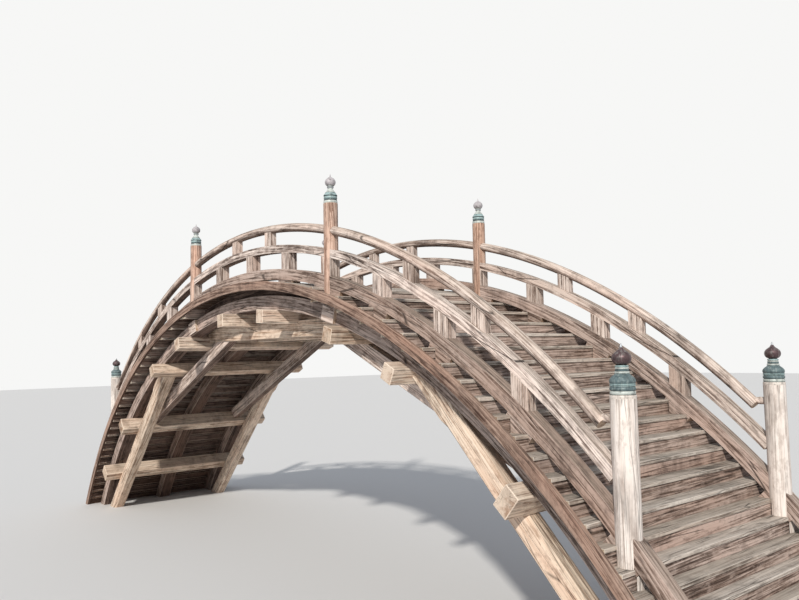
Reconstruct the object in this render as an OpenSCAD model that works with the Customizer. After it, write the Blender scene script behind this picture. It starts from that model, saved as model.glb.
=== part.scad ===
// Arched timber garden bridge, a moon bridge, with stepped ends, two bent railings
// and splayed trestle legs. X runs along the bridge, Y across it and Z up.
// The origin is on the ground under the middle of the bridge.

/* [Arch] */
// Radius of the arch, measured to the top of the sill
arch_r = 9330; // [9200:10:9600]
// Height of the top of the sill over the ground at the crown
crown_h = 4670; // [4600:10:4800]

/* [Deck] */
// Distance between the centre planes of the two railings
rail_gap = 2800; // [2700:10:3200]
// How far the deck runs out past the centre plane of each railing
deck_out = 300; // [240:5:360]
// Thickness of a deck board and of a tread
tread_t = 38; // [30:1:44]
// Thickness of a riser board
riser_t = 32; // [24:1:38]
// How far a tread stands out past the riser under it
nosing = 15; // [8:1:25]
// Distance of the first nosing from the middle of the bridge
first_step = 2140; // [2100:5:2180]
// Number of risers from the first nosing down to the ground
riser_count = 25; // [24:1:26]
// Depth of the board that closes the edge of the deck
fascia_d = 130; // [100:5:150]
// Thickness of the board that closes the edge of the deck
fascia_t = 45; // [30:1:60]

/* [Sill] */
// Depth of the sill
sill_d = 160; // [130:5:180]
// Width of the sill
sill_w = 150; // [120:5:170]
// Height of the slot between the deck and the sill
slot_h = 30; // [20:1:40]
// Length of the packing block under the sill at the crown
crown_block_l = 580; // [400:10:700]
// Length of the packing block under the sill at an arch post
post_block_l = 640; // [460:10:700]
// Length of each other packing block under the sill
block_l = 380; // [240:10:460]

/* [Railing] */
// Distance between two uprights along the bridge
bay = 1110; // [1060:10:1130]
// Height of the middle rail's centre over the top of the sill
mid_rise = 300; // [260:5:330]
// Depth of the middle rail
mid_d = 115; // [90:5:135]
// Width of the middle rail
mid_w = 140; // [110:5:160]
// Height of the top rail's centre over the top of the sill
top_rise = 612; // [560:5:660]
// Diameter of the top rail
top_dia = 125; // [100:5:140]
// Length along the bridge of a post between the sill and the middle rail
low_post_l = 200; // [160:5:230]
// Width across the bridge of a post between the sill and the middle rail
low_post_w = 145; // [110:5:150]
// Length along the bridge of a strut between the middle and the top rail
strut_l = 190; // [140:5:220]
// Width across the bridge of a strut between the middle and the top rail
strut_w = 95; // [70:5:110]

/* [Round posts] */
// Diameter of the four posts beside the crown
arch_post_dia = 195; // [180:5:220]
// Height of the wood of a crown post over the top of the sill
arch_post_h = 975; // [900:5:1050]
// Diameter of the four end posts
end_post_dia = 225; // [200:5:250]
// Height of the wood of an end post over the top of the sill
end_post_h = 1046; // [960:2:1120]
// Height of the cap on a crown post
arch_cap_h = 410; // [360:5:450]
// Height of the cap on an end post
end_cap_h = 415; // [370:5:460]
// How far the cap of a crown post stays inside the face of the post
arch_cap_in = 2; // [0:1:6]
// How far the cap of an end post reaches past the face of the post
end_cap_over = 3; // [0:1:6]

/* [Ribs] */
// Distance of an outer rib's centre plane from the middle of the bridge
rib_y = 1300; // [1280:10:1320]
// Width of a rib
rib_w = 250; // [220:5:270]
// Depth of a rib
rib_d = 215; // [180:5:240]
// Distance of an outer step carriage's centre plane from the middle of the bridge
carriage_y = 1230; // [1180:10:1240]
// Width of a step carriage on top of a rib
carriage_w = 110; // [80:5:115]
// Length of the cleat over a joint of an outer rib
cleat_l = 290; // [240:5:320]
// Thickness of the cleat over a joint of an outer rib
cleat_t = 50; // [30:5:60]
// Angle of a rib's joint from the crown
cleat_a = 14.6; // [12:0.2:15]

/* [Cross beams] */
// Depth of a cross beam
beam_d = 205; // [180:5:225]
// Width of a cross beam
beam_w = 200; // [180:5:220]
// Angle of the cross beams next to the crown
crown_beam_a = 4.45; // [4:0.05:6]
// Angle of the cross beams at the ends of the tie beams
tie_beam_a = 16.7; // [16:0.1:18]
// Angle of the cross beams at the heads of the legs
head_beam_a = 25.6; // [25:0.1:26]
// How far a cross beam's end stays behind the edge of the deck
beam_back = 40; // [20:5:80]

/* [Trestles] */
// Depth of a trestle beam
trestle_d = 280; // [260:5:300]
// Angle of the upper trestle beam
trestle_high_a = 39.9; // [39.2:0.1:40.5]
// Angle of the lower trestle beam
trestle_low_a = 50.1; // [49.4:0.1:50.6]
// Depth of a leg, square to its slope
leg_d = 255; // [230:5:270]
// Width of a leg
leg_w = 240; // [210:5:260]
// Chamfer on the long edges of a leg
leg_chamfer = 42; // [20:1:60]
// Height over the ground at which the chamfers of a leg run out
leg_stop_z = 2700; // [2500:10:2800]
// Length over which a chamfer of a leg runs out
leg_stop_l = 120; // [60:5:160]
// Distance of a leg's centre plane from the middle of the bridge
leg_y = 1232; // [1200:2:1250]
// Distance of an outer tie beam and of its braces from the middle of the bridge
tie_y = 960; // [940:5:980]
// Depth of a tie beam under the crown
tie_d = 250; // [220:5:260]
// Width of a tie beam
tie_w = 200; // [180:5:220]
// How deep the top of a tie beam is let in round the crown cross beams
tie_let_in = 44.892; // [20:0.001:60]
// How far the ends of the outer tie beams reach up beside the ribs
tie_up = 65; // [40:5:80]
// Depth of a brace, square to its slope
brace_d = 225; // [200:5:240]
// Width of a brace
brace_w = 160; // [140:5:180]
// Distance from the middle of the bridge at which a brace's top meets the tie beam
brace_head_x = 2168; // [2100:4:2240]
// Slope of a brace
brace_slope = 23.8; // [23.4:0.1:24.4]

/* [Hidden] */

// Facets of the long arcs, of the posts and rails, and the gap left round a post
arc_fn = 720;
round_fn = 48;
fit = 0.3;
// Gap under a straight seat on a bent member
seat = 0.7;
// How far the head of a strut stays under the middle of the top rail
saddle_drop = 36;
// How far a rail's end plane goes past the first touch with an end post
rail_let_in = 6;
// Flats of a packing block's bent top
block_parts = 4;
// Steps of a turned outline between two of its named radii
turn_steps = 5;
// A length past the whole bridge, for cutting
far_out = 12000;
// How far past the ground a layer is turned before it is cut level, in degrees
past_ground = 0.02;
// How far the flats of a seat reach from the crown, in degrees
seat_reach = 75;
// Sides of the bridge
near = -1;
far = 1;
left = -1;
right = 1;

// Centre height of the arch, and the radii of its layers from the sill down
arch_z = crown_h - arch_r;
sill_r = arch_r - sill_d;
deck_r = sill_r - slot_h;
board_r = deck_r - tread_t;
nose_clear = 7;
nose_r = sill_r - nose_clear;

// Places across the bridge
rail_y = rail_gap / 2;
deck_y = rail_y + deck_out;
board_y = deck_y - fascia_t;
beam_y = deck_y - beam_back;

// Steps: the first nosing lies on the nosing arc and the last tread is one riser up
first_nose_z = arch_z + sqrt(nose_r * nose_r - first_step * first_step);
riser_h = first_nose_z / riser_count;
function nose_z(n) = first_nose_z - n * riser_h;
function nose_x(n) = sqrt(pow(nose_r, 2) - pow(nose_z(n) - arch_z, 2));
function riser_back(n) = nose_x(n) - nosing - riser_t;
ramp_end = sqrt(pow(deck_r, 2) - pow(first_nose_z - arch_z, 2));

// The rib just clears the back lower corner of the first tread
carriage_min = 10;
first_corner_x = riser_back(0);
first_corner_z = nose_z(1) - tread_t - arch_z;
rib_out_r = sqrt(pow(first_corner_x, 2) + pow(first_corner_z, 2)) - carriage_min;
rib_r = rib_out_r - rib_d;
beam_r = rib_r - beam_d;
trestle_r = rib_r - trestle_d;

// Railing uprights, counted in bays from the crown
low_posts_at = [-5, -4, -3, -2, -1, 0, 1, 2, 3, 4, 5];
struts_at = [-4.5, -3.5, -0.5, 0.5, 3.5, 4.5];
arch_post_at = 2;
end_post_at = 6;
plain_blocks_at = [1, 3, 4, 5, 7];
arch_post_x = arch_post_at * bay;
end_post_x = end_post_at * bay;
function sill_z(x) = arch_z + sqrt(arch_r * arch_r - x * x);

// Outlines of the two kinds of cap, as shares of the radius and of the height of the cap
arch_cap_outline = [
    [1, 0], [1, 0.06], [0.9, 0.08], [0.96, 0.13], [0.84, 0.17], [0.5, 0.44],
    [0.62, 0.49], [0.52, 0.54], [0.78, 0.69], [0.4, 0.86], [0.06, 1]
];
end_cap_outline = [
    [1, 0], [1, 0.3], [0.8, 0.36], [0.5, 0.4], [0.56, 0.46],
    [0.48, 0.52], [0.73, 0.68], [0.44, 0.86], [0.05, 1]
];

// Sloping joint in the sill beside a crown post, and its saw cut
scarf_l = 690;
scarf_gap = 3;

// Height of the underside of the tie beams, which hang under the crown cross beams
tie_z = arch_z + beam_r * cos(crown_beam_a) + tie_let_in - tie_d;

// Slope of a leg, whose back runs over the inner faces of both trestle beams
trestle_high = [trestle_r * sin(trestle_high_a), arch_z + trestle_r * cos(trestle_high_a)];
trestle_low = [trestle_r * sin(trestle_low_a), arch_z + trestle_r * cos(trestle_low_a)];
leg_slope = atan2(trestle_high[1] - trestle_low[1], trestle_low[0] - trestle_high[0]);
leg_stop = (leg_stop_z - trestle_low[1]) / sin(leg_slope);

// Colours of the weathered timber and of the two kinds of metal cap
wood_pale = [0.62, 0.52, 0.46];
wood_brown = [0.50, 0.38, 0.31];
wood_red = [0.56, 0.38, 0.27];
wood_dark = [0.36, 0.29, 0.25];
wood_grey = [0.66, 0.62, 0.57];
copper_green = [0.45, 0.58, 0.52];
bronze = [0.24, 0.18, 0.20];

// Turns an outline about the arch's centre between two angles from the crown.
// The outline has the radius along its X and the width across the bridge along its Y.
module sweep(from, to, rise = 0) {
    translate([0, 0, arch_z + rise])
        rotate([90, 0, 0])
            rotate([0, 0, 90 - to])
                rotate_extrude(angle = to - from, $fn = arc_fn)
                    children();
}

// The same in two lengths that meet at the crown
module sweep_halves(reach) {
    for (flip = [0, 1])
        mirror([flip, 0, 0])
            sweep(0, reach)
                children();
}

// A drum about the arch's centre, for cutting to one of its layers
module arc_drum(r, rise = 0) {
    translate([0, 0, arch_z + rise])
        rotate([90, 0, 0])
            cylinder(r = r, h = far_out, center = true, $fn = arc_fn);
}

// Everything over the ground
module above_ground() {
    translate([-far_out, -far_out, 0])
        cube([2 * far_out, 2 * far_out, far_out]);
}

// Half-angle at which a layer of radius r has just passed the ground
function ground_a(r) = acos(-arch_z / r) + past_ground;

// A layer of the arch that runs from ground to ground
module full_arc(r_in, r_out, y_in, y_out) {
    intersection() {
        sweep(-ground_a(r_out), ground_a(r_out))
            translate([r_in, -y_out])
                square([r_out - r_in, y_out - y_in]);
        above_ground();
    }
}

// Points along a layer of radius r between two angles, for short or cut members
function arc_points(r, from, to, parts) = [
    for (i = [0 : parts])
        let (a = from + (to - from) * i / parts)
            [r * sin(a), arch_z + r * cos(a)]
];

// Everything inside a layer of radius r, in flats, for the seats of straight members
module inside_layer(r) {
    across(-far_out, far_out)
        polygon(concat(arc_points(r, -seat_reach, seat_reach, 2 * seat_reach), [[0, -far_out]]));
}

// A flat outline drawn along X and Z, with its thickness across the bridge
module across(y_in, y_out) {
    translate([0, y_out, 0])
        rotate([90, 0, 0])
            linear_extrude(height = y_out - y_in)
                children();
}

// Upright round post space, for the posts and for the holes that they fill
module post_space(x, side, dia, z_low, z_high) {
    translate([x, side * rail_y, z_low])
        rotate([0, 0, 90])
            cylinder(d = dia, h = z_high - z_low, $fn = round_fn);
}

module all_post_spaces(side, grow) {
    for (end = [left, right]) {
        post_space(end * arch_post_x, side, arch_post_dia + grow, 0, far_out);
        post_space(end * end_post_x, side, end_post_dia + grow, 0, far_out);
    }
}

// The stepped ground-side filling under the treads of one end
module stair_fill(end, y_in, y_out) {
    across(y_in, y_out)
        polygon([
            for (n = [0 : riser_count - 1]) each [
                [end * nose_x(n), nose_z(n)],
                [end * nose_x(n), nose_z(n + 1)]
            ],
            [0, 0],
            [0, first_nose_z]
        ]);
}

// Sill: the lowest rail, bent over the deck and let round the round posts
module sill(side) {
    y_in = side * rail_y - sill_w / 2;
    color(wood_brown)
        difference() {
            full_arc(sill_r, arch_r, y_in, y_in + sill_w);
            all_post_spaces(side, 2 * fit);
            sill_scarf(side, y_in);
        }
}

// Thin sloping saw cut where two lengths of the sill meet
module sill_scarf(side, y_in) {
    cut_end = arch_post_x - arch_post_dia;
    cut_start = cut_end - scarf_l;
    spare = 20;
    across(y_in - spare, y_in + sill_w + spare)
        polygon([
            [-side * (cut_start - spare), sill_z(cut_start) - sill_d - spare],
            [-side * (cut_end + spare), sill_z(cut_end) + spare],
            [-side * (cut_end + spare), sill_z(cut_end) + spare - scarf_gap],
            [-side * (cut_start - spare), sill_z(cut_start) - sill_d - spare - scarf_gap]
        ]);
}

// Packing block between the deck and the sill, over a length centred at x
module sill_block(side, x, length) {
    y_in = side * rail_y - sill_w / 2;
    middle = asin(x / sill_r);
    half = asin(length / 2 / sill_r);
    across(y_in, y_in + sill_w)
        polygon(concat(
            arc_points(sill_r, middle - half, middle + half, block_parts),
            arc_points(rib_out_r, middle + half, middle - half, block_parts)
        ));
}

module sill_blocks(side) {
    color(wood_brown)
        difference() {
            intersection() {
                union() {
                    sill_block(side, 0, crown_block_l);
                    for (end = [left, right]) {
                        sill_block(side, end * arch_post_x, post_block_l);
                        sill_block(side, end * end_post_x, block_l);
                        for (k = plain_blocks_at)
                            sill_block(side, end * k * bay, block_l);
                    }
                }
                above_ground();
            }
            intersection() {
                inside_layer(deck_r);
                translate([-ramp_end, -far_out, 0])
                    cube([2 * ramp_end, 2 * far_out, far_out]);
            }
            for (end = [left, right])
                stair_fill(end, -deck_y, deck_y);
            all_post_spaces(side, 2 * fit);
        }
}

// Board that closes the edge of the deck
module fascia(side) {
    y_in = side > 0 ? board_y : -deck_y;
    color(wood_red)
        intersection() {
            sweep_halves(ground_a(deck_r))
                translate([deck_r - fascia_d, -y_in - fascia_t])
                    square([fascia_d, fascia_t]);
            above_ground();
        }
}

// Height of a layer of radius r over the place x, raised by the given amount
function layer_z(x, r, rise) = arch_z + rise + sqrt(r * r - x * x);

// Plumb block between two layers of the railing, its ends cut to their slopes
module rail_upright(x, side, length, width, rise_low, r_low, rise_high, r_high) {
    a = x - length / 2;
    b = x + length / 2;
    y_in = side * rail_y - width / 2;
    across(y_in, y_in + width)
        polygon([
            [a, layer_z(a, r_low, rise_low) + seat],
            [b, layer_z(b, r_low, rise_low) + seat],
            [b, layer_z(b, r_high, rise_high)],
            [a, layer_z(a, r_high, rise_high)]
        ]);
}

module low_posts(side) {
    color(wood_pale)
        difference() {
            for (k = low_posts_at)
                rail_upright(k * bay, side, low_post_l, low_post_w,
                    0, arch_r, mid_rise, arch_r - mid_d / 2);
            all_post_spaces(side, 2 * fit);
        }
}

module struts(side) {
    color(wood_pale)
        for (k = struts_at)
            strut(k * bay, side);
}

// Strut with a straight saddle in its head for the round top rail
module strut(x, side) {
    a = x - strut_l / 2;
    b = x + strut_l / 2;
    za = layer_z(a, arch_r, top_rise);
    zb = layer_z(b, arch_r, top_rise);
    slope = atan2(zb - za, strut_l);
    difference() {
        rail_upright(x, side, strut_l, strut_w, mid_rise, arch_r + mid_d / 2,
            top_rise, arch_r - saddle_drop);
        translate([x, side * rail_y, (za + zb) / 2])
            rotate([0, 90 - slope, 0])
                cylinder(d = top_dia + 2 * seat, h = 2 * strut_l, center = true, $fn = round_fn);
    }
}

module mid_rail(side) {
    color(wood_pale)
        difference() {
            sweep(-rail_reach(mid_w), rail_reach(mid_w), mid_rise)
                translate([arch_r - mid_d / 2, -side * rail_y - mid_w / 2])
                    square([mid_d, mid_w]);
            all_post_spaces(side, 2 * fit);
        }
}

// Angle at which a rail of the given width has met the end post all round
function rail_reach(width) =
    asin((end_post_x - sqrt(pow(end_post_dia / 2, 2) - pow(width / 2, 2)) + rail_let_in) / arch_r);

module top_rail(side) {
    color(wood_pale)
        difference() {
            sweep(-rail_reach(top_dia), rail_reach(top_dia), top_rise)
                translate([arch_r, -side * rail_y])
                    circle(d = top_dia, $fn = round_fn);
            all_post_spaces(side, 2 * fit);
        }
}

module arch_posts(side) {
    color(wood_red)
        difference() {
            for (end = [left, right])
                post_space(end * arch_post_x, side, arch_post_dia,
                    0, sill_z(arch_post_x) + arch_post_h);
            for (end = [left, right])
                stair_fill(end, -deck_y, deck_y);
        }
}

module end_posts(side) {
    color(wood_grey)
        difference() {
            for (end = [left, right])
                post_space(end * end_post_x, side, end_post_dia,
                    0, sill_z(end_post_x) + end_post_h);
            for (end = [left, right])
                stair_fill(end, -deck_y, deck_y);
        }
}

// Smooth passage from one [radius, height] to the next
function ease(a, b) = [
    for (i = [0 : turn_steps - 1])
        let (t = i / turn_steps, s = (1 - cos(180 * t)) / 2)
            [a[0] + (b[0] - a[0]) * s, a[1] + (b[1] - a[1]) * t]
];

// Turned outline through a list of [radius, height] places
function turned(places) = [
    for (i = [0 : len(places) - 2]) each ease(places[i], places[i + 1]),
    places[len(places) - 1]
];

module turned_body(places) {
    top = places[len(places) - 1];
    rotate_extrude($fn = round_fn)
        polygon(concat([[0, 0]], turned(places), [[0, top[1]]]));
}

// Onion-shaped cap of a crown post: base rings, a flared bell, a neck and a bud
module arch_cap(height) {
    r = arch_post_dia / 2 - arch_cap_in;
    turned_body([for (place = arch_cap_outline) [r * place[0], height * place[1]]]);
}

// Cap of an end post: ribbed sleeve, ribbed neck and a dark round bud with a point
module end_cap(height) {
    r = end_post_dia / 2 + end_cap_over;
    turned_body([for (place = end_cap_outline) [r * place[0], height * place[1]]]);
}

module arch_caps(side) {
    color(copper_green)
        for (end = [left, right])
            translate([end * arch_post_x, side * rail_y, sill_z(arch_post_x) + arch_post_h])
                arch_cap(arch_cap_h);
}

module end_caps(side) {
    color(bronze)
        for (end = [left, right])
            translate([end * end_post_x, side * rail_y, sill_z(end_post_x) + end_post_h])
                end_cap(end_cap_h);
}

// Rib: the bent main beam that carries the deck
module rib(y) {
    color(wood_brown)
        full_arc(rib_r, rib_out_r, y - rib_w / 2, y + rib_w / 2);
}

// Carriage: packing on a rib, bent under the crown deck and notched under the steps
module carriage(y) {
    y_in = y - carriage_w / 2;
    color(wood_dark)
        difference() {
            union() {
                intersection() {
                    inside_layer(board_r);
                    translate([-ramp_end, y_in, 0])
                        cube([2 * ramp_end, carriage_w, far_out]);
                }
                for (end = [left, right])
                    carriage_steps(end, y_in);
            }
            arc_drum(rib_out_r);
        }
}

module carriage_steps(end, y_in) {
    across(y_in, y_in + carriage_w)
        polygon([
            [0, 0],
            [0, nose_z(0) - tread_t],
            for (n = [0 : riser_count - 1]) each [
                [end * riser_back(n), nose_z(n) - tread_t],
                [end * riser_back(n), max(nose_z(n + 1) - tread_t, 0)]
            ]
        ]);
}

// Boards over the crown, between the two flights
module crown_deck() {
    color(wood_grey)
        intersection() {
            sweep_halves(asin(ramp_end / board_r))
                translate([board_r, -board_y])
                    square([tread_t, 2 * board_y]);
            translate([-ramp_end, -board_y, 0])
                cube([2 * ramp_end, 2 * board_y, far_out]);
        }
}

module tread(end, n) {
    back = n == 0 ? ramp_end : riser_back(n - 1);
    depth = nose_x(n) - back;
    x = end > 0 ? back : -nose_x(n);
    translate([x, -board_y, nose_z(n) - tread_t])
        cube([depth, 2 * board_y, tread_t]);
}

module treads(end) {
    color(wood_grey)
        for (n = [0 : riser_count - 1])
            tread(end, n);
}

module riser(end, n) {
    x = end > 0 ? riser_back(n) : -riser_back(n) - riser_t;
    translate([x, -board_y, nose_z(n + 1)])
        cube([riser_t, 2 * board_y, riser_h - tread_t]);
}

module risers(end) {
    color(wood_brown)
        for (n = [0 : riser_count - 1])
            riser(end, n);
}

// Beam across the bridge under the ribs, square to the arch at angle a
module cross_beam(end, a, depth) {
    translate([0, 0, arch_z])
        rotate([0, end * a, 0])
            translate([-beam_w / 2, -beam_y, rib_r - depth])
                cube([beam_w, 2 * beam_y, depth]);
}

module cross_beams(end) {
    color(wood_pale)
        intersection() {
            for (a = [crown_beam_a, tie_beam_a, head_beam_a])
                cross_beam(end, a, beam_d);
            inside_layer(rib_r);
        }
}

module trestle_beams(end) {
    color(wood_pale)
        intersection() {
            for (a = [trestle_high_a, trestle_low_a])
                cross_beam(end, a, trestle_d);
            inside_layer(rib_r);
        }
}

// Level tie beam under the crown, cut out for the cross beams that it meets
module tie_beam(y, end_r) {
    color(wood_pale)
        difference() {
            intersection() {
                translate([-far_out, y - tie_w / 2, tie_z])
                    cube([2 * far_out, tie_w, tie_d]);
                inside_layer(end_r);
            }
            for (end = [left, right])
                for (a = [crown_beam_a, tie_beam_a])
                    cross_beam(end, a, beam_d);
        }
}

// The tie beam in the middle stops against the cross beams, as it has a rib over its ends
module centre_tie_beam() {
    intersection() {
        tie_beam(0, rib_r);
        before_beam(tie_beam_a);
        mirror([1, 0, 0])
            before_beam(tie_beam_a);
    }
}

// What a chamfer takes off an edge along X; from stop on it gets shallower and runs out
module chamfer_cut(stop) {
    deep = leg_chamfer / sqrt(2);
    rotate([90, 0, 0])
        linear_extrude(height = 2 * leg_chamfer, center = true)
            polygon([
                [-far_out, -deep], [stop, -deep],
                [stop + 2 * leg_stop_l, deep], [-far_out, deep]
            ]);
}

// Square bar along X with its back at the height of X, and chamfers that stop below its head
module leg_bar() {
    difference() {
        translate([-far_out, -leg_w / 2, -leg_d])
            cube([2 * far_out, leg_w, leg_d]);
        for (side = [-1, 1])
            for (back = [0, 1])
                translate([0, side * leg_w / 2, back ? 0 : -leg_d])
                    rotate([side * (back ? -45 : -135), 0, 0])
                        chamfer_cut(leg_stop);
    }
}

// Leg: from the ground under both trestle beams up to the head beam
module leg(y) {
    difference() {
        intersection() {
            translate([-trestle_low[0], y, trestle_low[1]])
                rotate([0, -leg_slope, 0])
                    leg_bar();
            inside_layer(rib_r);
            above_ground();
            behind_head_beam();
        }
        cross_beam(left, head_beam_a, beam_d);
        for (a = [trestle_high_a, trestle_low_a])
            cross_beam(left, a, trestle_d);
    }
}

// Everything behind the middle of the left end's head beam
module behind_head_beam() {
    translate([0, 0, arch_z])
        rotate([0, left * head_beam_a, 0])
            translate([-far_out, -far_out, 0])
                cube([far_out, 2 * far_out, far_out]);
}

module legs(end) {
    color(wood_pale)
        for (y = [-leg_y, leg_y])
            mirror([end > 0 ? 1 : 0, 0, 0])
                leg(y);
}

// Brace: from the front of the upper trestle beam up to the underside of the tie beam
module brace(y) {
    difference() {
        intersection() {
            translate([-brace_head_x, y, tie_z])
                rotate([0, -brace_slope, 0])
                    translate([-far_out, -brace_w / 2, -brace_d])
                        cube([2 * far_out, brace_w, brace_d]);
            translate([-far_out, -far_out, 0])
                cube([2 * far_out, 2 * far_out, tie_z]);
            before_beam(trestle_high_a);
        }
        cross_beam(left, tie_beam_a, beam_d);
    }
}

// Everything before the front of the left end's beam at angle a
module before_beam(a) {
    translate([0, 0, arch_z])
        rotate([0, left * a, 0])
            translate([beam_w / 2, -far_out, 0])
                cube([far_out, 2 * far_out, far_out]);
}

module braces(end) {
    color(wood_pale)
        for (y = [-tie_y, tie_y])
            mirror([end > 0 ? 1 : 0, 0, 0])
                brace(y);
}

// Cleats on the outer faces of the outer ribs, over their joints
module rib_cleats() {
    color(wood_grey)
        for (side = [near, far])
            for (end = [left, right])
                rib_cleat(side, end);
}

module rib_cleat(side, end) {
    y_in = side > 0 ? rib_y + rib_w / 2 : -rib_y - rib_w / 2 - cleat_t;
    translate([0, 0, arch_z])
        rotate([0, end * cleat_a, 0])
            translate([-cleat_l / 2, y_in, rib_r])
                cube([cleat_l, cleat_t, rib_d]);
}

sill(near);  // near_sill
sill(far);  // far_sill
sill_blocks(near);  // near_sill_blocks
sill_blocks(far);  // far_sill_blocks
fascia(near);  // near_fascia
fascia(far);  // far_fascia
low_posts(near);  // near_low_posts
low_posts(far);  // far_low_posts
mid_rail(near);  // near_mid_rail
mid_rail(far);  // far_mid_rail
struts(near);  // near_struts
struts(far);  // far_struts
top_rail(near);  // near_top_rail
top_rail(far);  // far_top_rail
arch_posts(near);  // near_arch_posts
arch_posts(far);  // far_arch_posts
end_posts(near);  // near_end_posts
end_posts(far);  // far_end_posts
arch_caps(near);  // near_arch_caps
arch_caps(far);  // far_arch_caps
end_caps(near);  // near_end_caps
end_caps(far);  // far_end_caps
rib(near * rib_y);  // near_rib
rib(0);  // centre_rib
rib(far * rib_y);  // far_rib
carriage(near * carriage_y);  // near_carriage
carriage(0);  // centre_carriage
carriage(far * carriage_y);  // far_carriage
crown_deck();
treads(left);  // left_treads
treads(right);  // right_treads
risers(left);  // left_risers
risers(right);  // right_risers
tie_beam(near * tie_y, rib_r + tie_up);  // near_tie_beam
centre_tie_beam();
tie_beam(far * tie_y, rib_r + tie_up);  // far_tie_beam
cross_beams(left);  // left_cross_beams
cross_beams(right);  // right_cross_beams
trestle_beams(left);  // left_trestle_beams
trestle_beams(right);  // right_trestle_beams
legs(left);  // left_legs
legs(right);  // right_legs
braces(left);  // left_braces
braces(right);  // right_braces
rib_cleats();
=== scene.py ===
import math
import random

import bmesh
import bpy
import numpy as np
from mathutils import Matrix, Vector


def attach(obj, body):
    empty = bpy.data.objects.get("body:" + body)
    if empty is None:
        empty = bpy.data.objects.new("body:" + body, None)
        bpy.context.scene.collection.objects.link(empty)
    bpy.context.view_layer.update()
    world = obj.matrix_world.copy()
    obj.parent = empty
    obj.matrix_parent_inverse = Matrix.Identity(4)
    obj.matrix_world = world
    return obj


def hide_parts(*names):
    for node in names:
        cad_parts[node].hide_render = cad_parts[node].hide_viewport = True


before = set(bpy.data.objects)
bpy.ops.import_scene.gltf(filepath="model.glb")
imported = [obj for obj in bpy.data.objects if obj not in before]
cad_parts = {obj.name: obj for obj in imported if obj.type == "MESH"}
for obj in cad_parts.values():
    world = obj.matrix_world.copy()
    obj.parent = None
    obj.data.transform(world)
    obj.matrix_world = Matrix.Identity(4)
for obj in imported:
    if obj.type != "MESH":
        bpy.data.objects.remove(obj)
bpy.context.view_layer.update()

# Lengths are in metres and angles in degrees, unless a comment says otherwise.
# Centre height of the arch, and the layers that the pieces follow
ARCH_Z = -4.66
DECK_R = 9.14
SILL_R = 9.33
MID_RISE = 0.300
TOP_RISE = 0.612
# Crown boards: thickness, reach along and across the bridge, number, half the gap between two,
# inset from the CAD solid, largest random sink and stagger, and how far their edges are eased
BOARD_T = 0.038
DECK_END = 2.038
DECK_Y = 1.655
BOARD_COUNT = 28
BOARD_GAP = 0.0022
BOARD_INSET = 0.0005
BOARD_SINK = 0.0025
BOARD_STAGGER = 0.004
BOARD_EASE = 0.004
# Where a top rail ends before an end post and how far its end is rounded, then the peg that
# carries it on: its height over the rail's centre and its [reach past the end, radius] outline
RAIL_END = 6.445
RAIL_ROUND = 0.022
ROUND_SEGMENTS = 4
ROUND_PROFILE = 0.5
PEG_UP = 0.045
PEG = ((-0.06, 0.038), (0.035, 0.038), (0.045, 0.041), (0.098, 0.041), (0.112, 0.036),
       (0.118, 0.030), (0.240, 0.030))
PEG_ROUNDS = 20
# Sloping joints of a middle rail: angle from the crown, slope to the rail, reach along it
RAIL_JOINTS = ((17.33, -21, 0.3), (34.1, 9.9, 0.5), (-17.33, 21, 0.3), (-34.1, -9.9, 0.5))
# Half the open width of a joint's line, and where its soft edge ends
JOINT_OPEN = 0.002
JOINT_EDGE = 0.0055

# Mesh work: distance within which vertices join, angle in radians up to which faces are one
# flat and from which an edge is eased, shape of an eased edge, and the angle from which an edge
# stays sharp in shading
WELD = 2e-5
FLAT = 0.0015
CORNER = 0.6
EASE_SEGMENTS = 2
EASE_PROFILE = 0.6
SHADE_SHARP = 38
AXES = {"x": Vector((1, 0, 0)), "y": Vector((0, 1, 0)), "z": Vector((0, 0, 1))}
# Radii that turn a place on the arch into grain coordinates, along it and out from it, and how
# square to the grain a face has to be to show end grain, on a bent and on a straight timber
GRAIN_ALONG_R = 9.2
GRAIN_R = 9.0
CUT_BENT = 0.8
CUT_STRAIGHT = 0.85
# Largest random shift of a timber's grain, along and across it
SHIFT_ALONG = 40
SHIFT_ACROSS = 9
CAP_ROUNDS = 72
# Steps of a cap's beads and of its curves between two places, least radius of a curve, and the
# height of a groove's slopes, the last two in millimetres
BEAD_STEPS = 7
FLOW_STEPS = 6
THINNEST = 0.5
GROOVE_SLOPE = 0.5

# Camera: place, turn, tilt and roll; focal length and width of the photo in pixels
CAMERA_AT = (10.328, -6.760, 3.325)
YAW, PITCH, ROLL = 51.2, 4.32, -1.17
FOCAL_PX = 727.4
PHOTO_W = 799
SENSOR_W = 36
FAR_CLIP = 500
# Sun: strength, softness, colour and the way it shines
SUN_STRENGTH = 3.35
SUN_SOFT = 3
SUN_COLOUR = (1.0, 0.965, 0.91)
SUN_WAY = (-0.785, 1.0, -0.81)
# Sky: colour and strength of its light, and the background that a camera or a mirror sees
SKY_COLOUR = (0.80, 0.87, 1.0, 1)
SKY_STRENGTH = 0.46
SHOWN_COLOUR = (0.93, 0.93, 0.92, 1)
# Floor: half its side, colour and roughness
FLOOR_HALF = 90
FLOOR_COLOUR = (0.70, 0.69, 0.67, 1)
FLOOR_ROUGH = 0.9


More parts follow.
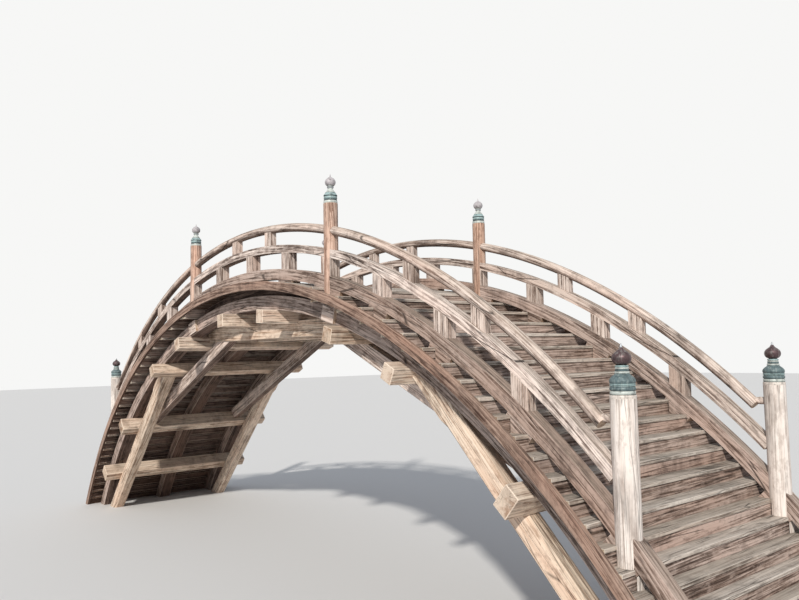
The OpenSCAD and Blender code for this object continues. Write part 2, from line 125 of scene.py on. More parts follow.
# ---------------------------------------------------------------- camera and light
def place_camera():
    yaw, pitch, roll = math.radians(YAW), math.radians(PITCH), math.radians(ROLL)
    ahead = Vector((-math.sin(yaw) * math.cos(pitch), math.cos(yaw) * math.cos(pitch),
                    math.sin(pitch)))
    right = Vector((math.cos(yaw), math.sin(yaw), 0))
    up = right.cross(ahead)
    right_2 = math.cos(roll) * right + math.sin(roll) * up
    up_2 = -math.sin(roll) * right + math.cos(roll) * up
    data = bpy.data.cameras.new("camera")
    data.sensor_width = SENSOR_W
    data.lens = SENSOR_W * FOCAL_PX / PHOTO_W
    data.clip_end = FAR_CLIP
    cam = bpy.data.objects.new("camera", data)
    bpy.context.scene.collection.objects.link(cam)
    turned = Matrix((right_2, up_2, -ahead)).transposed().to_4x4()
    cam.matrix_world = Matrix.Translation(CAMERA_AT) @ turned
    bpy.context.scene.camera = cam


def add_sun():
    sun = bpy.data.lights.new("sun", "SUN")
    sun.energy = SUN_STRENGTH
    sun.angle = math.radians(SUN_SOFT)
    sun.color = SUN_COLOUR
    lamp = bpy.data.objects.new("sun", sun)
    bpy.context.scene.collection.objects.link(lamp)
    lamp.rotation_euler = Vector(SUN_WAY).to_track_quat("-Z", "Y").to_euler()


def add_sky():
    """A plain sky that lights the object and shows a pale background behind it."""
    world = bpy.data.worlds.new("world")
    bpy.context.scene.world = world
    world.use_nodes = True
    nodes, links = world.node_tree.nodes, world.node_tree.links
    nodes.clear()
    out = nodes.new("ShaderNodeOutputWorld")
    mix = nodes.new("ShaderNodeMixShader")
    path = nodes.new("ShaderNodeLightPath")
    fill = nodes.new("ShaderNodeBackground")
    fill.inputs["Color"].default_value = SKY_COLOUR
    fill.inputs["Strength"].default_value = SKY_STRENGTH
    shown = nodes.new("ShaderNodeBackground")
    shown.inputs["Color"].default_value = SHOWN_COLOUR
    shown.inputs["Strength"].default_value = 1.0
    seen = path.outputs["Is Camera Ray"]
    for ray in ("Is Glossy Ray", "Is Transmission Ray"):
        both = nodes.new("ShaderNodeMath")
        both.operation = "MAXIMUM"
        links.new(seen, both.inputs[0])
        links.new(path.outputs[ray], both.inputs[1])
        seen = both.outputs[0]
    links.new(seen, mix.inputs["Fac"])
    links.new(fill.outputs[0], mix.inputs[1])
    links.new(shown.outputs[0], mix.inputs[2])
    links.new(mix.outputs[0], out.inputs["Surface"])


def add_floor():
    mesh = bpy.data.meshes.new("floor")
    s = FLOOR_HALF
    mesh.from_pydata([(-s, -s, 0), (s, -s, 0), (s, s, 0), (-s, s, 0)], [], [(0, 1, 2, 3)])
    obj = bpy.data.objects.new("floor", mesh)
    bpy.context.scene.collection.objects.link(obj)
    mat = bpy.data.materials.new("floor")
    mat.use_nodes = True
    bsdf = mat.node_tree.nodes["Principled BSDF"]
    bsdf.inputs["Base Color"].default_value = FLOOR_COLOUR
    bsdf.inputs["Roughness"].default_value = FLOOR_ROUGH
    mesh.materials.append(mat)


# ---------------------------------------------------------------- materials
class Tree:
    """Small helper that makes shader nodes and joins them."""

    def __init__(self, name):
        self.mat = bpy.data.materials.new(name)
        self.mat.use_nodes = True
        self.nodes = self.mat.node_tree.nodes
        self.links = self.mat.node_tree.links
        self.bsdf = self.nodes["Principled BSDF"]

    def put(self, socket, value):
        if hasattr(value, "is_output"):
            self.links.new(value, socket)
        else:
            socket.default_value = value

    def math(self, op, a, b=0.0):
        n = self.nodes.new("ShaderNodeMath")
        n.operation = op
        self.put(n.inputs[0], a)
        self.put(n.inputs[1], b)
        return n.outputs[0]

    def times(self, a, b):
        return self.math("MULTIPLY", a, b)

    def total(self, *parts):
        """Sum of [socket, share] pairs."""
        out = self.times(*parts[0])
        for part in parts[1:]:
            out = self.math("ADD", out, self.times(*part))
        return out

    def attribute(self, name, output):
        n = self.nodes.new("ShaderNodeAttribute")
        n.attribute_name = name
        return n.outputs[output]

    def scaled(self, vector, scale):
        n = self.nodes.new("ShaderNodeVectorMath")
        n.operation = "MULTIPLY"
        self.put(n.inputs[0], vector)
        n.inputs[1].default_value = scale
        return n.outputs[0]

    def added(self, a, b):
        n = self.nodes.new("ShaderNodeVectorMath")
        n.operation = "ADD"
        self.put(n.inputs[0], a)
        self.put(n.inputs[1], b)
        return n.outputs[0]

    def dot(self, a, b):
        n = self.nodes.new("ShaderNodeVectorMath")
        n.operation = "DOT_PRODUCT"
        self.links.new(a, n.inputs[0])
        self.links.new(b, n.inputs[1])
        return n.outputs["Value"]

    def noise(self, vector, detail, rough, scale=1.0, output=0):
        n = self.nodes.new("ShaderNodeTexNoise")
        self.put(n.inputs["Vector"], vector)
        n.inputs["Scale"].default_value = scale
        n.inputs["Detail"].default_value = detail
        n.inputs["Roughness"].default_value = rough
        return n.outputs[output]

    def ramp(self, value, stops):
        n = self.nodes.new("ShaderNodeValToRGB")
        self.put(n.inputs[0], value)
        elements = n.color_ramp.elements
        while len(elements) < len(stops):
            elements.new(0.5)
        for element, (place, colour) in zip(elements, stops):
            element.position = place
            element.color = colour
        return n.outputs[0]

    def split(self, vector):
        n = self.nodes.new("ShaderNodeSeparateXYZ")
        self.links.new(vector, n.inputs[0])
        return n.outputs

    def span(self, value, low, high, to_low=0.0, to_high=1.0):
        n = self.nodes.new("ShaderNodeMapRange")
        n.clamp = True
        self.put(n.inputs[0], value)
        n.inputs[1].default_value = low
        n.inputs[2].default_value = high
        n.inputs[3].default_value = to_low
        n.inputs[4].default_value = to_high
        return n.outputs[0]

    def blend(self, fac, a, b, mode="MIX"):
        n = self.nodes.new("ShaderNodeMix")
        n.data_type = "RGBA"
        n.blend_type = mode
        self.put(n.inputs[0], fac)
        self.put(n.inputs[6], a)
        self.put(n.inputs[7], b)
        return n.outputs[2]

    def stained(self, fac, base, tint):
        """The base colour, multiplied by a tint as far as the factor says."""
        return self.blend(fac, base, self.blend(1.0, base, tint, "MULTIPLY"))

    def cracks(self, vector, where, width, low, high):
        """Thin lines between the cells of a stretched pattern, in the patches that where picks."""
        n = self.nodes.new("ShaderNodeTexVoronoi")
        n.feature = "DISTANCE_TO_EDGE"
        n.inputs["Scale"].default_value = 1.0
        self.links.new(vector, n.inputs["Vector"])
        line = self.span(n.outputs["Distance"], 0.0, width, 1.0, 0.0)
        return self.times(line, self.span(where, low, high))

    def bump(self, height, distance, strength):
        n = self.nodes.new("ShaderNodeBump")
        n.inputs["Strength"].default_value = strength
        n.inputs["Distance"].default_value = distance
        self.put(n.inputs["Height"], height)
        return n.outputs[0]


def srgb(r, g, b):
    def one(c):
        c /= 255
        return c / 12.92 if c <= 0.04045 else ((c + 0.055) / 1.055) ** 2.4
    return (one(r), one(g), one(b), 1)


def shaded(colour, share):
    return (*(share * c for c in colour[:3]), 1)


# Scales of the timber's patterns along and across the grain, in steps per metre
BEND = (0.8, 2.5, 2.5)
FIBRE = (2.4, 95.0, 95.0)
STREAK = (0.9, 31.0, 31.0)
BROAD = (0.55, 3.5, 3.5)
RINGS = (0.35, 6.0, 9.0)
MOTTLE = (6.0, 13.0, 13.0)
FINE_CRACK = (0.75, 19.0, 19.0)
FINE_WHERE = (0.9, 5.0, 5.0)
BOLD_CRACK = (0.42, 8.5, 8.5)
BOLD_WHERE = (0.6, 3.1, 3.1)
KNOT = (1.1, 5.2, 5.2)
END_RINGS = (0.0, 1.0, 1.0)
END_CHECK = (0.0, 13.0, 13.0)
END_CHECK_WHERE = (0.0, 6.0, 6.0)
# How far the grain wanders, across it
WANDER = (0.0, 0.03, 0.03)
# Patterns that follow the place in the scene, in steps per metre: soil on end grain, washed
# patches, and stains, which run down upright faces and so are drawn out in height
SOIL = 6.5
PATCH = 2.3
STAIN = 1.9
STAIN_DRAW = (1.0, 1.0, 0.35)
# How far a face is turned to the arch's centre, as its distance from there times the share of its
# normal that points away from it: full painted shade, and none
INWARDS = (-7.5, -2.2)
# Depth of the timber's relief
RELIEF = 0.006


class Wood(Tree):
    """Weathered timber. The grain runs along the first number of the mesh's grain coordinates."""

    def __init__(self, name, dark, mid, light, top, end):
        super().__init__(name)
        self.dark, self.mid, self.light, self.top, self.end = dark, mid, light, top, end
        self.grain = self.attribute("grain", "Vector")
        self.cut = self.attribute("cut", "Fac")
        self.uncut = self.math("SUBTRACT", 1.0, self.cut)
        geo = self.nodes.new("ShaderNodeNewGeometry")
        self.place = geo.outputs["Position"]
        self.normal = geo.outputs["True Normal"]

        # Wander of the grain, then fine fibres, bands and broad weathering
        bend = self.noise(self.scaled(self.grain, BEND), detail=2.0, rough=0.5, output=1)
        centred = self.added(bend, (-0.5, -0.5, -0.5))
        self.wander = self.added(self.grain, self.scaled(centred, WANDER))
        self.fibre = self.noise(self.scaled(self.wander, FIBRE), detail=5.0, rough=0.7)
        self.streak = self.noise(self.scaled(self.wander, STREAK), detail=5.0, rough=0.66)
        self.broad = self.noise(self.scaled(self.grain, BROAD), detail=3.0, rough=0.55)
        self.rings = self.ring_bands()

    def wave(self, vector, scale, distortion, detail):
        n = self.nodes.new("ShaderNodeTexWave")
        self.links.new(vector, n.inputs["Vector"])
        n.inputs["Scale"].default_value = scale
        n.inputs["Distortion"].default_value = distortion
        n.inputs["Detail"].default_value = detail
        return n

    def ring_bands(self):
        """Year rings as they show on a sawn side."""
        n = self.wave(self.scaled(self.wander, RINGS), scale=2.1, distortion=5.5, detail=3.0)
        n.wave_type = "BANDS"
        n.bands_direction = "DIAGONAL"
        n.wave_profile = "SAW"
        n.inputs["Detail Scale"].default_value = 1.2
        return n.outputs["Fac"]

    def side(self, red):
        """Colour along the grain, mottled, with ruddy stretches."""
        mixed = self.total((self.fibre, 0.20), (self.streak, 0.50), (self.rings, 0.09),
                           (self.broad, 0.21))
        side = self.ramp(mixed, [(0.395, self.dark), (0.462, self.mid), (0.535, self.light)])
        mottle = self.noise(self.scaled(self.grain, MOTTLE), detail=4.0, rough=0.7)
        side = self.blend(self.span(mottle, 0.50, 0.64, 0.0, 0.75), side,
                          self.blend(0.55, side, self.light))
        side = self.blend(self.span(mottle, 0.49, 0.36, 0.0, 0.75), side,
                          self.blend(0.55, side, self.dark))
        ruddy = self.times(self.span(self.broad, 0.45, 0.72), red)
        return self.stained(ruddy, side, srgb(232, 186, 160))

    def cut_end(self):
        """End grain: pale, with rings, soiled patches and short checks."""
        n = self.wave(self.scaled(self.grain, END_RINGS), scale=28.0, distortion=2.0, detail=2.0)
        n.wave_type = "RINGS"
        n.rings_direction = "X"
        ring_mix = self.total((n.outputs["Fac"], 0.5), (self.fibre, 0.5))
        end = self.ramp(ring_mix, [(0.25, shaded(self.end, 0.62)), (0.7, self.end)])
        soil = self.noise(self.place, detail=4.0, rough=0.65, scale=SOIL)
        end = self.stained(self.span(soil, 0.46, 0.64, 0.0, 0.8), end, srgb(184, 156, 136))
        where = self.noise(self.scaled(self.grain, END_CHECK_WHERE), detail=2.0, rough=0.5)
        checks = self.cracks(self.scaled(self.grain, END_CHECK), where, width=0.04, low=0.47,
                             high=0.56)
        return self.blend(self.times(checks, 0.75), end, shaded(self.dark, 0.5))

    def washed(self, base, grey):
        """Rain-washed upper faces go grey, and stains run down."""
        patch = self.noise(self.place, detail=4.0, rough=0.65, scale=PATCH)
        up = self.times(self.span(self.split(self.normal)["Z"], 0.15, 0.8),
                        self.span(patch, 0.30, 0.62, 0.45, 1.0))
        top_mix = self.ramp(self.streak, [(0.3, shaded(self.top, 0.6)), (0.62, self.top)])
        base = self.blend(self.times(up, grey), base, top_mix)
        stain = self.noise(self.scaled(self.place, STAIN_DRAW), detail=5.0, rough=0.7, scale=STAIN)
        return self.stained(self.times(self.span(stain, 0.53, 0.66), 0.5), base,
                            srgb(142, 136, 134))

    def drying_cracks(self, share):
        """Drying cracks along the grain: fine ones all over, bold ones here and there."""
        where = self.noise(self.scaled(self.grain, FINE_WHERE), detail=3.0, rough=0.6)
        fine = self.cracks(self.scaled(self.wander, FINE_CRACK), where, width=0.045, low=0.47,
                           high=0.58)
        where = self.noise(self.scaled(self.grain, BOLD_WHERE), detail=2.0, rough=0.5, scale=1.3)
        bold = self.cracks(self.scaled(self.wander, BOLD_CRACK), where, width=0.020, low=0.50,
                           high=0.56)
        both = self.math("MAXIMUM", self.times(fine, 0.7), bold)
        return self.times(self.times(both, share), self.uncut)

    def knots(self):
        """Dark ovals, far apart."""
        spot = self.nodes.new("ShaderNodeTexVoronoi")
        spot.feature = "F1"
        spot.inputs["Scale"].default_value = 1.0
        self.links.new(self.scaled(self.wander, KNOT), spot.inputs["Vector"])
        pick = self.nodes.new("ShaderNodeSeparateColor")
        self.links.new(spot.outputs["Color"], pick.inputs[0])
        knot = self.times(self.span(spot.outputs["Distance"], 0.03, 0.065, 1.0, 0.0),
                          self.span(pick.outputs[0], 0.78, 0.80))
        return self.times(knot, self.uncut)

    def painted_under_shade(self, base, share):
        """Painted shade: faces that look to the inside of the arch are darkened and browned,
        partly also as wood that the sun never bleached.
        """
        out = self.scaled(self.added(self.place, (0.0, 0.0, -ARCH_Z)), (1.0, 0.0, 1.0))
        # Share of painted shade on this face, and the dark brown that paints it
        under = self.span(self.dot(out, self.normal), *INWARDS, 1.0, 0.0)
        return self.stained(self.times(under, share), base, srgb(112, 86, 70))

    def joint_line(self, i):
        """Thin open line where two lengths of a rail meet on a slope."""
        across, along, _ = self.split(self.attribute("joint_" + str(i), "Vector"))
        near = self.math("LESS_THAN", self.math("ABSOLUTE", along), 1.0)
        off = self.math("ABSOLUTE", across)
        return self.times(self.span(off, JOINT_OPEN, JOINT_EDGE, 1.0, 0.0), near)

    def toned(self, base):
        """Each member is a little lighter or darker than the next."""
        tone = self.attribute("tone", "Fac")
        n = self.nodes.new("ShaderNodeHueSaturation")
        self.put(n.inputs["Value"], self.span(tone, -1.0, 1.0, 0.86, 1.12))
        self.put(n.inputs["Saturation"], self.span(tone, -1.0, 1.0, 1.10, 0.90))
        self.put(n.inputs["Color"], base)
        return n.outputs[0]


def make_wood(name, dark, mid, light, top, end, red=0.25, grey=0.6, crack=1.0, under_shade_share=0.8,
              joints=0):
    """Timber from five colours, the shares of ruddy, grey and cracked wood, and the share of
    painted shade inside the arch.
    """
    dark, mid, light, top, end = (srgb(*colour) for colour in (dark, mid, light, top, end))
    t = Wood(name, dark, mid, light, top, end)
    base = t.blend(t.cut, t.side(red), t.cut_end())
    base = t.washed(base, grey)
    split_line = t.drying_cracks(crack)
    base = t.blend(t.times(split_line, 0.88), base, shaded(dark, 0.10))
    knot = t.knots()
    base = t.blend(t.times(knot, 0.6), base, shaded(dark, 0.6))
    # Painted shade on faces turned to the inside of the arch
    base = t.painted_under_shade(base, under_shade_share)
    for i in range(joints):
        line = t.joint_line(i)
        base = t.blend(t.times(line, 0.9), base, shaded(dark, 0.08))
        split_line = t.math("MAXIMUM", split_line, line)
    # Edges are rubbed pale
    rubbed = t.times(t.attribute("wear", "Fac"), t.span(t.fibre, 0.35, 0.6, 0.25, 0.7))
    base = t.blend(rubbed, base, light)
    t.put(t.bsdf.inputs["Base Color"], t.toned(base))
    t.put(t.bsdf.inputs["Roughness"], t.span(t.fibre, 0.3, 0.7, 0.72, 0.92))
    t.bsdf.inputs["Specular IOR Level"].default_value = 0.28
    height = t.total((t.fibre, 0.5), (t.rings, 0.22))
    height = t.math("SUBTRACT", height, t.times(split_line, 1.4))
    height = t.math("ADD", height, t.times(knot, 0.35))
    t.put(t.bsdf.inputs["Normal"], t.bump(height, RELIEF, strength=0.75))
    return t.mat


# Patterns of the metal in steps per metre: streaks drawn out in height, blots and fine specks
WASHED = (46.0, 46.0, 7.0)
BLOT = 21.0
SPECK = 150.0
METAL_RELIEF = 0.0015


def make_metal(name, metallic, rough):
    """Sheet metal with a patina: the zones' own colours, washed streaks, blots and dark seams."""
    t = Tree(name)
    place = t.nodes.new("ShaderNodeNewGeometry").outputs["Position"]
    tint = t.attribute("tint", "Color")
    seam = t.attribute("seam", "Fac")
    streak = t.noise(t.scaled(place, WASHED), detail=4.0, rough=0.6)
    blot = t.noise(place, detail=5.0, rough=0.62, scale=BLOT)
    speck = t.noise(place, detail=3.0, rough=0.6, scale=SPECK)
    base = t.blend(t.span(streak, 0.50, 0.68, 0.0, 0.42), tint,
                   t.blend(0.65, tint, srgb(206, 212, 204)))
    base = t.stained(t.span(blot, 0.50, 0.66, 0.0, 0.60), base, srgb(122, 122, 124))
    base = t.stained(t.span(speck, 0.45, 0.7, 0.0, 0.35), base, srgb(150, 158, 154))
    base = t.blend(t.times(seam, 0.8), base, srgb(40, 40, 40))
    t.put(t.bsdf.inputs["Base Color"], base)
    t.bsdf.inputs["Metallic"].default_value = metallic
    t.put(t.bsdf.inputs["Roughness"], t.span(blot, 0.35, 0.65, rough, rough + 0.25))
    t.put(t.bsdf.inputs["Normal"],
          t.bump(t.math("ADD", speck, t.times(blot, 0.8)), METAL_RELIEF, strength=0.6))
    return t.mat


# Colours in screen values, of the cream end grain first, then of each kind of timber: dark, middle
# and light streaks, washed top and end grain
CREAM = (228, 206, 184)
MATERIALS = {
    "brown": make_wood("weathered_brown", (66, 50, 42), (132, 112, 100), (196, 176, 164),
                       (164, 150, 136), (198, 172, 150)),
    "red": make_wood("weathered_red", (72, 50, 40), (122, 98, 84), (172, 146, 130),
                     (158, 138, 122), (204, 174, 148), red=0.5, grey=0.4),
    "post": make_wood("weathered_post", (90, 60, 46), (166, 136, 119), (218, 190, 172),
                      (184, 162, 144), (214, 186, 160), red=0.45, grey=0.3),
    "pale": make_wood("weathered_pale", (86, 68, 58), (172, 152, 140), (232, 216, 204),
                      (184, 170, 154), CREAM, red=0.3, grey=0.5),
    "rail": make_wood("weathered_rail", (82, 65, 56), (160, 141, 130), (232, 216, 204),
                      (184, 170, 154), CREAM, red=0.3, grey=0.5, joints=len(RAIL_JOINTS)),
    "cream": make_wood("weathered_cream", (122, 92, 74), (206, 180, 158), (244, 226, 206),
                       (194, 178, 160), CREAM, red=0.35, grey=0.5, under_shade_share=0.15),
    "grey": make_wood("weathered_grey", (100, 90, 82), (162, 148, 136), (208, 198, 186),
                      (180, 170, 158), (206, 190, 168), red=0.2, grey=0.7, under_shade_share=1.0),
    "ash": make_wood("weathered_ash", (172, 157, 147), (227, 216, 207), (248, 240, 232),
                     (206, 197, 186), CREAM, red=0.15, grey=0.5, crack=0.6, under_shade_share=0.3),
    # Timber darker than the brown, with painted shade for the dark space between ribs and deck
    "shade": make_wood("painted_shade_dark", (60, 45, 38), (102, 82, 72), (140, 118, 106),
                       (136, 122, 108), (170, 146, 124), red=0.4, under_shade_share=1.0),
    "patina": make_metal("green_copper", 0.12, 0.46),
    "bronze": make_metal("dark_bronze", 0.55, 0.30),
}


# ---------------------------------------------------------------- timber from the CAD solids
def islands(bm):
    """Groups of joined vertices, one for each solid, in an order that doesn't change."""
    bm.verts.ensure_lookup_table()
    left, found = set(bm.verts), []
    while left:
        stack, group = [left.pop()], []
        while stack:
            v = stack.pop()
            group.append(v)
            for e in v.link_edges:
                w = e.other_vert(v)
                if w in left:
                    left.discard(w)
                    stack.append(w)
        found.append(group)
    found.sort(key=lambda g: tuple(round(c, 3) for c in min(v.co.to_tuple() for v in g)))
    return found


def weld(bm):
    bmesh.ops.remove_doubles(bm, verts=bm.verts, dist=WELD)


def ease(bm, edges, offset, segments=EASE_SEGMENTS, profile=EASE_PROFILE):
    """Rounds edges off and returns the new faces."""
    return bmesh.ops.bevel(bm, geom=edges, offset=offset, offset_type="OFFSET",
                           segments=segments, profile=profile, affect="EDGES",
                           clamp_overlap=True)["faces"]


def skin(bm, rings, material=0):
    """Faces between rings of vertices, closed at either end."""
    for one, two in zip(rings, rings[1:]):
        for i in range(len(one)):
            j = (i + 1) % len(one)
            bm.faces.new((one[i], one[j], two[j], two[i])).material_index = material
    bm.faces.new(rings[0][::-1]).material_index = material
    bm.faces.new(rings[-1]).material_index = material


def on_arch(radius, angle, y=0.0, centre=ARCH_Z):
    return Vector((radius * math.sin(angle), y, centre + radius * math.cos(angle)))


def grain_axes(way, points):
    """Grain direction and two directions across it, for one straight timber."""
    if way in AXES:
        along = AXES[way]
    else:
        centred = points - points.mean(0)
        along = Vector(np.linalg.eigh(centred.T @ centred)[1][:, 2])
    # Any axis that isn't close to the grain's own direction
    other = AXES["y"] if abs(along.y) < 0.7 else AXES["x"]
    one = (other - along * other.dot(along)).normalized()
    return along, one, along.cross(one)


def add_layers(bm):
    """Layers go in before any face is kept by name, as a new layer drops such references."""
    return (bm.verts.layers.float_vector.new("grain"), bm.verts.layers.float.new("tone"),
            bm.faces.layers.float.new("cut"), bm.faces.layers.float.new("wear"))


def lay_grain(bm, layers, way, worn, rng, centre=ARCH_Z):
    """Grain coordinates, tone, end grain and worn edges. The grain of "arc" follows the arch."""
    grain, tone, cut, wear = layers
    bent = way == "arc"
    for f in worn:
        if f.is_valid:
            f[wear] = 1.0
    for group in islands(bm):
        shift = Vector((rng.uniform(0, SHIFT_ALONG), rng.uniform(0, SHIFT_ACROSS),
                        rng.uniform(0, SHIFT_ACROSS)))
        shade = rng.uniform(-1, 1)
        if not bent:
            axes = grain_axes(way, np.array([v.co for v in group]))
            origin = sum((v.co for v in group), Vector()) / len(group)
        for v in group:
            if bent:
                x, z = v.co.x, v.co.z - centre
                place = Vector((math.atan2(x, z) * GRAIN_ALONG_R, math.hypot(x, z) - GRAIN_R,
                                v.co.y))
            else:
                d = v.co - origin
                place = Vector([d.dot(a) for a in axes])
            v[grain] = place + shift
            v[tone] = shade
        for f in {f for v in group for f in v.link_faces}:
            f.normal_update()
            if bent:
                c = f.calc_center_median()
                along, least = Vector((c.z - centre, 0, -c.x)).normalized(), CUT_BENT
            else:
                along, least = axes[0], CUT_STRAIGHT
            f[cut] = 1.0 if abs(f.normal.dot(along)) > least else 0.0


def lay_joints(bm, joints, centre):
    """Distances from each joint's plane and along it, for the shader's thin lines."""
    for i, (angle, slope, reach) in enumerate(joints):
        layer = bm.verts.layers.float_vector.new("joint_" + str(i))
        a, b = math.radians(angle), math.radians(slope)
        middle = on_arch(SILL_R, a, centre=centre)
        along = Vector((math.cos(a), 0, -math.sin(a)))
        out = Vector((math.sin(a), 0, math.cos(a)))
        across = math.cos(b) * out - math.sin(b) * along
        for v in bm.verts:
            d = v.co - middle
            v[layer] = Vector((d.dot(across), d.dot(along) / reach, 0))


def add_pegs(bm, centre):
    """Ends a top rail short of the end posts and carries it there on a thinner round peg."""
    a = math.asin(RAIL_END / SILL_R)
    for end in (-1, 1):
        middle = Vector((end * RAIL_END, 0, centre + SILL_R * math.cos(a)))
        along = Vector((end * math.cos(a), 0, -math.sin(a)))
        cut = bmesh.ops.bisect_plane(bm, geom=[*bm.verts, *bm.edges, *bm.faces],
                                     plane_co=middle, plane_no=along, clear_outer=True)
        rim = [e for e in cut["geom_cut"] if isinstance(e, bmesh.types.BMEdge)]
        cap = bmesh.ops.contextual_create(bm, geom=rim)["faces"]
        ease(bm, [e for f in cap for e in f.edges], RAIL_ROUND, ROUND_SEGMENTS, ROUND_PROFILE)
        y = sum(v.co.y for v in bm.verts) / len(bm.verts)
        z = middle.z + PEG_UP
        turns = [2 * math.pi * k / PEG_ROUNDS for k in range(PEG_ROUNDS)]
        skin(bm, [[bm.verts.new((end * (RAIL_END + x), y + r * math.cos(t), z + r * math.sin(t)))
                   for t in turns] for x, r in PEG])
    bmesh.ops.recalc_face_normals(bm, faces=bm.faces)


def finish_mesh(bm, name, material):
    mesh = bpy.data.meshes.new(name)
    bm.to_mesh(mesh)
    bm.free()
    mesh.materials.append(MATERIALS[material])
    obj = bpy.data.objects.new(name, mesh)
    bpy.context.scene.collection.objects.link(obj)
    mesh.shade_smooth()
    mesh.set_sharp_from_angle(angle=math.radians(SHADE_SHARP))
    weigh = obj.modifiers.new("weigh", "WEIGHTED_NORMAL")
    weigh.keep_sharp = True
    return obj


def dress(node, material, way, edge, rise=0.0, joints=(), pegs=False):
    """A timber piece over a CAD node: same outline, eased arrises, grain along each member."""
    rng = random.Random(node)
    centre = ARCH_Z + rise
    bm = bmesh.new()
    bm.from_mesh(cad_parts[node].data)
    if pegs:
        weld(bm)
        add_pegs(bm, centre)
    layers = add_layers(bm)
    weld(bm)
    bmesh.ops.dissolve_limit(bm, angle_limit=FLAT, verts=bm.verts, edges=bm.edges)
    sharp = [e for e in bm.edges if len(e.link_faces) == 2 and e.calc_face_angle(0.0) > CORNER]
    worn = ease(bm, sharp, edge) if edge > 0 else []
    lay_grain(bm, layers, way, worn, rng, centre)
    lay_joints(bm, joints, centre)
    bmesh.ops.triangulate(bm, faces=[f for f in bm.faces if len(f.verts) > 4])
    obj = finish_mesh(bm, node + "_timber", material)
    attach(obj, "root")
    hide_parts(node)


# ---------------------------------------------------------------- separate boards of the crown
def board(bm, under, over, worn):
    """Board between its lower and upper corners."""
    verts = [bm.verts.new(c) for c in under + over]
    n = len(under)
    faces = [bm.faces.new(verts[:n][::-1]), bm.faces.new(verts[n:])]
    faces += [bm.faces.new((verts[i], verts[(i + 1) % n], verts[n + (i + 1) % n], verts[n + i]))
              for i in range(n)]
    worn += ease(bm, list({e for f in faces for e in f.edges}), BOARD_EASE)


def crown_boards():
    rng = random.Random("crown boards")
    reach = math.asin(DECK_END / DECK_R)
    gap = BOARD_GAP / DECK_R
    bm = bmesh.new()
    layers = add_layers(bm)
    worn = []
    for i in range(BOARD_COUNT):
        a = -reach + 2 * reach * i / BOARD_COUNT + gap
        b = -reach + 2 * reach * (i + 1) / BOARD_COUNT - gap
        sink = rng.uniform(0.0, BOARD_SINK)
        y0 = -DECK_Y + rng.uniform(0.0, BOARD_STAGGER)
        y1 = DECK_Y - rng.uniform(0.0, BOARD_STAGGER)
        corners = ((a, y0), (b, y0), (b, y1), (a, y1))
        under = [on_arch(DECK_R - BOARD_T + BOARD_INSET, *c) for c in corners]
        over = [on_arch(DECK_R - sink - BOARD_INSET, *c) for c in corners]
        board(bm, under, over, worn)
    bmesh.ops.recalc_face_normals(bm, faces=bm.faces)
    lay_grain(bm, layers, "y", worn, rng)
    obj = finish_mesh(bm, "crown_boards", "grey")
    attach(obj, "root")
    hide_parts("crown_deck")


# ---------------------------------------------------------------- metal caps
VERDIGRIS = srgb(92, 110, 113)
TEAL_PALE = srgb(152, 175, 175)
SHEET = srgb(196, 202, 196)
SILVER = srgb(170, 174, 178)
LILAC = srgb(184, 177, 179)
# Colour that the grooves between the beads are drawn in, dark
GROOVE_DARK = srgb(58, 60, 60)
PURPLE = srgb(92, 72, 74)
BASE = srgb(226, 214, 204)


# Outlines run from the foot up, in millimetres: (radius, height, colour, darkness of a seam)
def bead(r, low, high, bulge, tint):
    """Half-round moulding round the body."""
    return [(r + bulge * math.sin(math.pi * i / BEAD_STEPS), low + (high - low) * i / BEAD_STEPS,
             tint, 0.0) for i in range(BEAD_STEPS + 1)]


def between(a, b, c, d, t):
    """Smooth curve on its way from b to c, between the neighbours a and d."""
    return 0.5 * (2 * b + (c - a) * t + (2 * a - 5 * b + 4 * c - d) * t * t
                  + (3 * b - a - 3 * c + d) * t ** 3)


def flow(places, tint):
    """Smooth outline through a few [radius, height] places."""
    out = []
    padded = [places[0], *places, places[-1]]
    for four in zip(padded, padded[1:], padded[2:], padded[3:]):
        for k in range(FLOW_STEPS):
            r, z = (between(*values, k / FLOW_STEPS) for values in zip(*four))
            out.append((max(r, THINNEST), z, tint, 0.0))
    out.append((*places[-1], tint, 0.0))
    return out


def groove(r, low, high, deep):
    """Dark groove round the body."""
    return [(r, low, GROOVE_DARK, 0.0), (r - deep, low + GROOVE_SLOPE, GROOVE_DARK, 1.0),
            (r - deep, high - GROOVE_SLOPE, GROOVE_DARK, 1.0), (r, high, GROOVE_DARK, 0.0)]


ARCH_CAP = (
    [(60, 0, BASE, 0.0), (93, 0, BASE, 0.0)]
    + bead(91, 1, 35, 4, SHEET) + groove(88, 35, 41, 7)
    + bead(86, 41, 55, 5, VERDIGRIS) + groove(86, 55, 59, 4)
    + bead(85, 59, 94, 7, TEAL_PALE) + groove(84, 94, 101, 9)
    + [(90, 101, VERDIGRIS, 0.0), (94, 104, VERDIGRIS, 0.0)]
    + flow([(94, 107), (91, 115), (82, 127), (74, 138), (70, 145)], TEAL_PALE)
    + groove(69, 145, 149, 4)
    + flow([(66, 149), (57, 165), (45, 182), (36, 198), (34, 209)], SHEET)
    + bead(40, 210, 227, 7, SILVER) + groove(40, 227, 231, 5) + bead(42, 231, 241, 4, SHEET)
    + groove(43, 241, 244, 5)
    + flow([(45, 244), (58, 250), (69, 269), (73, 290), (69, 312), (56, 333), (39, 348), (22, 358),
            (11, 367), (7, 379), (5, 392), (1, 407)], LILAC)
)
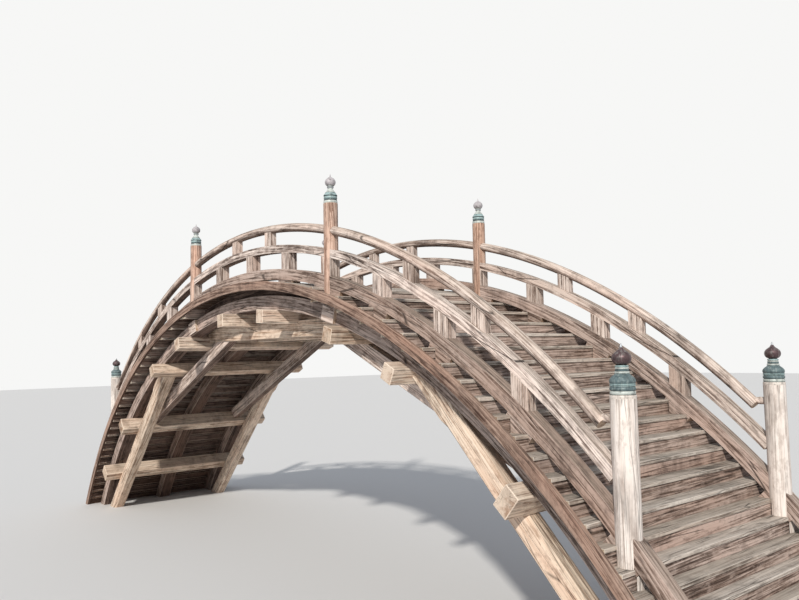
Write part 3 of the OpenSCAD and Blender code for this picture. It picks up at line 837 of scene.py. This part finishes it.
END_CAP = (
    [(80, 0, BASE, 0.0), (113, 0, BASE, 0.0)]
    + bead(111, 1, 30, 2, BASE) + groove(108, 30, 34, 6)
    + bead(103, 34, 63, 5, SHEET) + groove(102, 63, 67, 6)
    + bead(104, 67, 98, 6, VERDIGRIS) + groove(103, 98, 102, 6)
    + bead(104, 102, 112, 4, TEAL_PALE) + groove(103, 112, 115, 5)
    + bead(104, 115, 125, 4, TEAL_PALE)
    + flow([(103, 125), (110, 141), (109, 156), (100, 172), (84, 188), (68, 200), (61, 210)],
           VERDIGRIS)
    + bead(59, 210, 228, 5, SHEET) + groove(56, 228, 231, 4)
    + bead(55, 231, 245, 4, VERDIGRIS) + groove(54, 245, 248, 4)
    + bead(54, 248, 262, 4, SHEET) + groove(53, 262, 265, 4)
    + bead(53, 265, 279, 4, TEAL_PALE) + groove(50, 279, 287, 7)
)
END_BALL = (
    flow([(42, 287), (61, 293), (77, 313), (83, 337), (80, 358), (68, 378), (50, 394), (33, 406),
          (21, 419), (13, 432)], PURPLE)
    + flow([(12, 432), (10, 444), (7, 456), (1, 468)], SILVER)
)


def turn(bm, layers, foot, outline, rounds, material):
    """Turned body: one ring of points for each place of an outline in millimetres."""
    tint, seam = layers
    rings = []
    for r, z, colour, dark in outline:
        ring = []
        for i in range(rounds):
            a = 2 * math.pi * i / rounds
            v = bm.verts.new(foot + Vector((r * math.cos(a), r * math.sin(a), z)) / 1000)
            v[tint] = Vector(colour[:3])
            v[seam] = dark
            ring.append(v)
        rings.append(ring)
    skin(bm, rings, material)


def dress_cap(node, bodies):
    """Turned bodies over each cap of a CAD node, the first patina green, the second bronze."""
    source = bmesh.new()
    source.from_mesh(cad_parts[node].data)
    weld(source)
    bm = bmesh.new()
    layers = (bm.verts.layers.float_vector.new("tint"), bm.verts.layers.float.new("seam"))
    rounds = CAP_ROUNDS
    for group in islands(source):
        x, y = ((min(v.co[i] for v in group) + max(v.co[i] for v in group)) / 2 for i in (0, 1))
        foot = Vector((x, y, min(v.co.z for v in group)))
        for material, outline in enumerate(bodies):
            turn(bm, layers, foot, outline, rounds, material)
    source.free()
    obj = finish_mesh(bm, node + "_metal", "patina")
    obj.data.materials.append(MATERIALS["bronze"])
    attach(obj, "root")
    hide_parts(node)


place_camera()
add_sun()
add_sky()
add_floor()

# Node, timber, way of the grain, and how far the arrises are eased
for side in ("near", "far"):
    dress(side + "_sill", "brown", "arc", 0.009)
    dress(side + "_sill_blocks", "brown", "arc", 0.004)
    dress(side + "_fascia", "red", "arc", 0.005)
    dress(side + "_low_posts", "pale", "z", 0.007)
    dress(side + "_mid_rail", "rail", "arc", 0.010, rise=MID_RISE, joints=RAIL_JOINTS)
    dress(side + "_struts", "pale", "z", 0.006)
    dress(side + "_top_rail", "pale", "arc", 0.0, rise=TOP_RISE, pegs=True)
    dress(side + "_arch_posts", "post", "z", 0.006)
    dress(side + "_end_posts", "ash", "z", 0.006)
    dress_cap(side + "_arch_caps", (ARCH_CAP,))
    dress_cap(side + "_end_caps", (END_CAP, END_BALL))
for row in ("near", "centre", "far"):
    dress(row + "_rib", "brown", "arc", 0.008)
    # The carriages take the timber with painted shade
    dress(row + "_carriage", "shade", "arc", 0.003)
    dress(row + "_tie_beam", "cream", "x", 0.008)
for end in ("left", "right"):
    dress(end + "_treads", "grey", "y", 0.005)
    dress(end + "_risers", "brown", "y", 0.003)
    dress(end + "_cross_beams", "cream", "y", 0.009)
    dress(end + "_trestle_beams", "cream", "y", 0.009)
    dress(end + "_legs", "cream", "long", 0.005)
    dress(end + "_braces", "pale", "long", 0.007)
dress("rib_cleats", "pale", "arc", 0.005)
crown_boards()

bpy.context.scene.view_settings.view_transform = "Standard"
